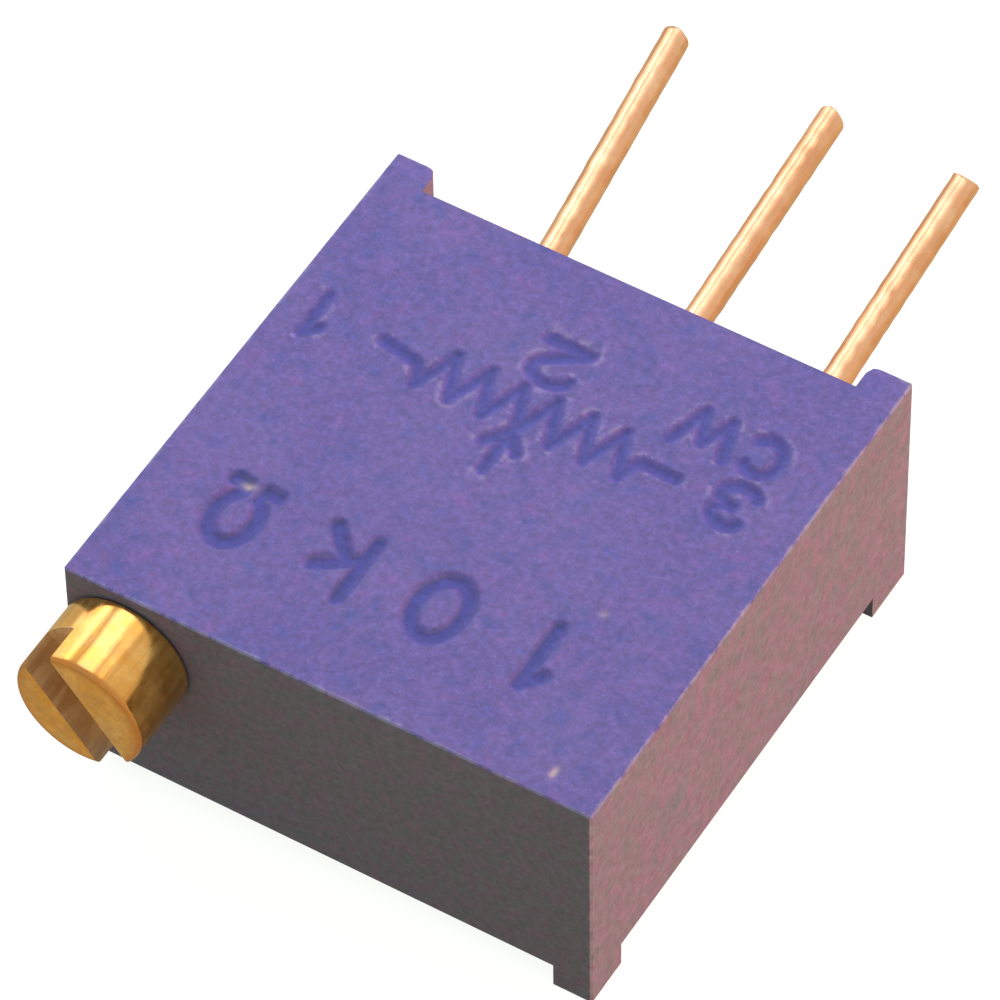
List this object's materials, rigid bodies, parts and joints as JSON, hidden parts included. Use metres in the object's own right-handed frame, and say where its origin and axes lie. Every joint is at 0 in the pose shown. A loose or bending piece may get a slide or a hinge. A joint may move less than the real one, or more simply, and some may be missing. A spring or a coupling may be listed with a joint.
{
  "type": "trimmer potentiometer",
  "caption": "Square multi-turn trimmer potentiometer with a slotted brass adjusting screw on one edge and a row of wire pins out of the opposite edge.",
  "frame": {"origin": "under the middle of the body, level with the feet of its back pads", "axes": "+Z out of the marked face, +Y from the screw's edge to the pins' edge and along the pins, +X from the side by the screw and pin 1 to the side of pin 3"},
  "size_m": [0.0096, 0.0186, 0.0048],
  "materials": {
    "moulded_blue": "fine-grained moulded plastic",
    "back_epoxy": "cast, slightly glossy",
    "ceramic": "fired alumina",
    "cermet": "fired film",
    "silver_film": "fired silver film",
    "plated_copper": "plated wire, drawn",
    "solder": "smooth",
    "turned_brass": "turned, polished",
    "seal_rubber": "moulded",
    "spring_steel": "stamped",
    "rotor_plastic": "moulded",
    "wiper_metal": "stamped spring strip"
  },
  "bodies": {
    "housing": {"housing": "moulded_blue", "epoxy_backfill": "back_epoxy", "ceramic_substrate": "ceramic", "resistive_track": "cermet", "collector_track": "silver_film", "end_conductor_1": "silver_film", "end_conductor_3": "silver_film", "terminal_pin_1": "plated_copper", "terminal_pin_2": "plated_copper", "terminal_pin_3": "plated_copper", "solder_joint_1": "solder", "solder_joint_2": "solder", "solder_joint_3": "solder", "screw_retaining_clip": "spring_steel"},
    "screw": {"adjusting_screw": "turned_brass", "screw_o_ring": "seal_rubber"},
    "rotor": {"worm_wheel": "rotor_plastic", "wiper_spring": "wiper_metal"}
  },
  "joints": [
    {"name": "screw_turn", "type": "hinge", "parent": "housing", "child": "screw", "pos_m": [-0.00367, -0.00502, 0.00349], "axis": [0, 1, 0], "range_deg": [-4500, 4500]},
    {"name": "rotor_turn", "type": "hinge", "parent": "housing", "child": "rotor", "pos_m": [0.00003, -0.0002, 0.00349], "axis": [0, 0, 1], "range_deg": [-150, 150]}
  ],
  "couplings": [
    {"joint": "rotor_turn", "follows": "screw_turn", "ratio": 0.033333}
  ]
}
